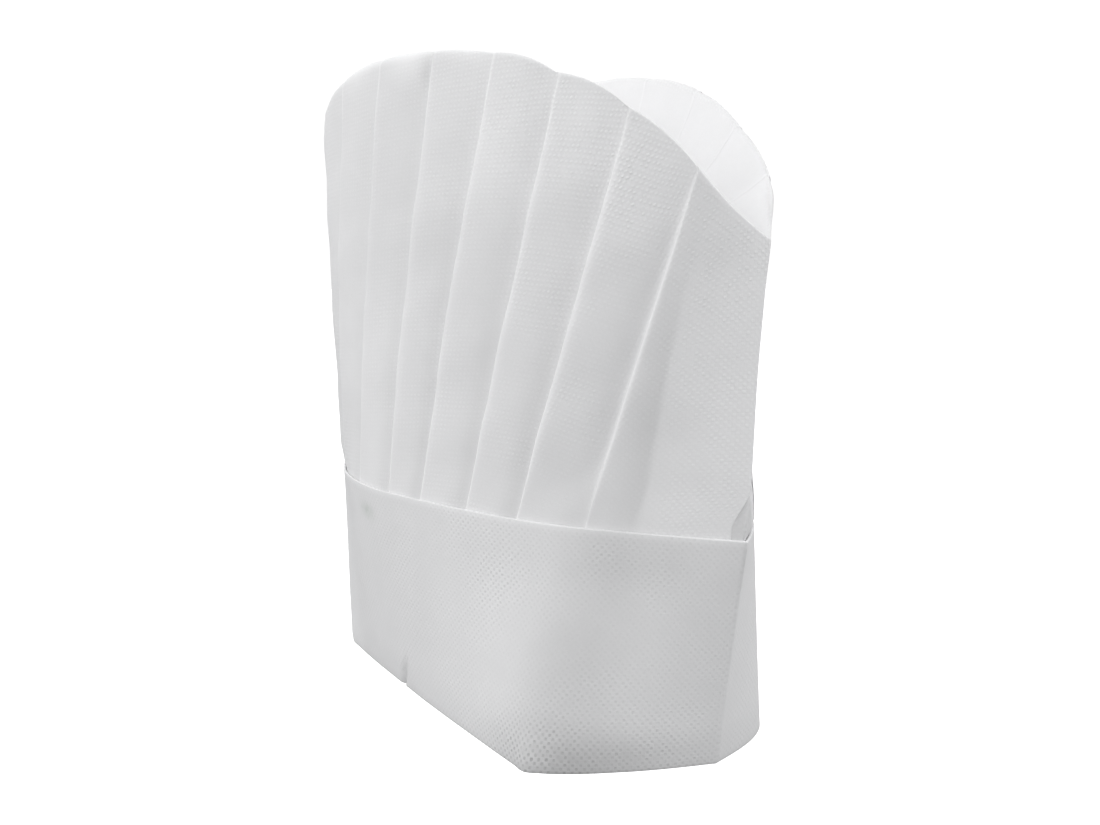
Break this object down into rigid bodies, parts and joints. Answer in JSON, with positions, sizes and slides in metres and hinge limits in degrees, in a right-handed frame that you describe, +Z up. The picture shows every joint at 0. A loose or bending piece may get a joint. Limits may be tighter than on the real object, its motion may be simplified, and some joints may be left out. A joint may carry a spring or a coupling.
{
  "type": "chef hat",
  "caption": "Tall disposable chef hat of white nonwoven cloth: plain tubular headband and a pleated crown with an arched top edge that rolls in to a central gather; stands open on its rim.",
  "frame": {"origin": "below the middle of the hat's box, in the plane of the rim it rests on", "axes": "+Z up through the crown, +X along the hat's long flattened width towards one side seam, -Y towards the front half"},
  "size_m": [0.2674, 0.109, 0.2317],
  "materials": {
    "crown_cloth": "matt white embossed nonwoven",
    "band_cloth": "matt white embossed nonwoven, two folded layers"
  },
  "bodies": {
    "root": {"headband": "band_cloth", "crown_front": "crown_cloth", "crown_back": "crown_cloth"}
  },
  "joints": []
}
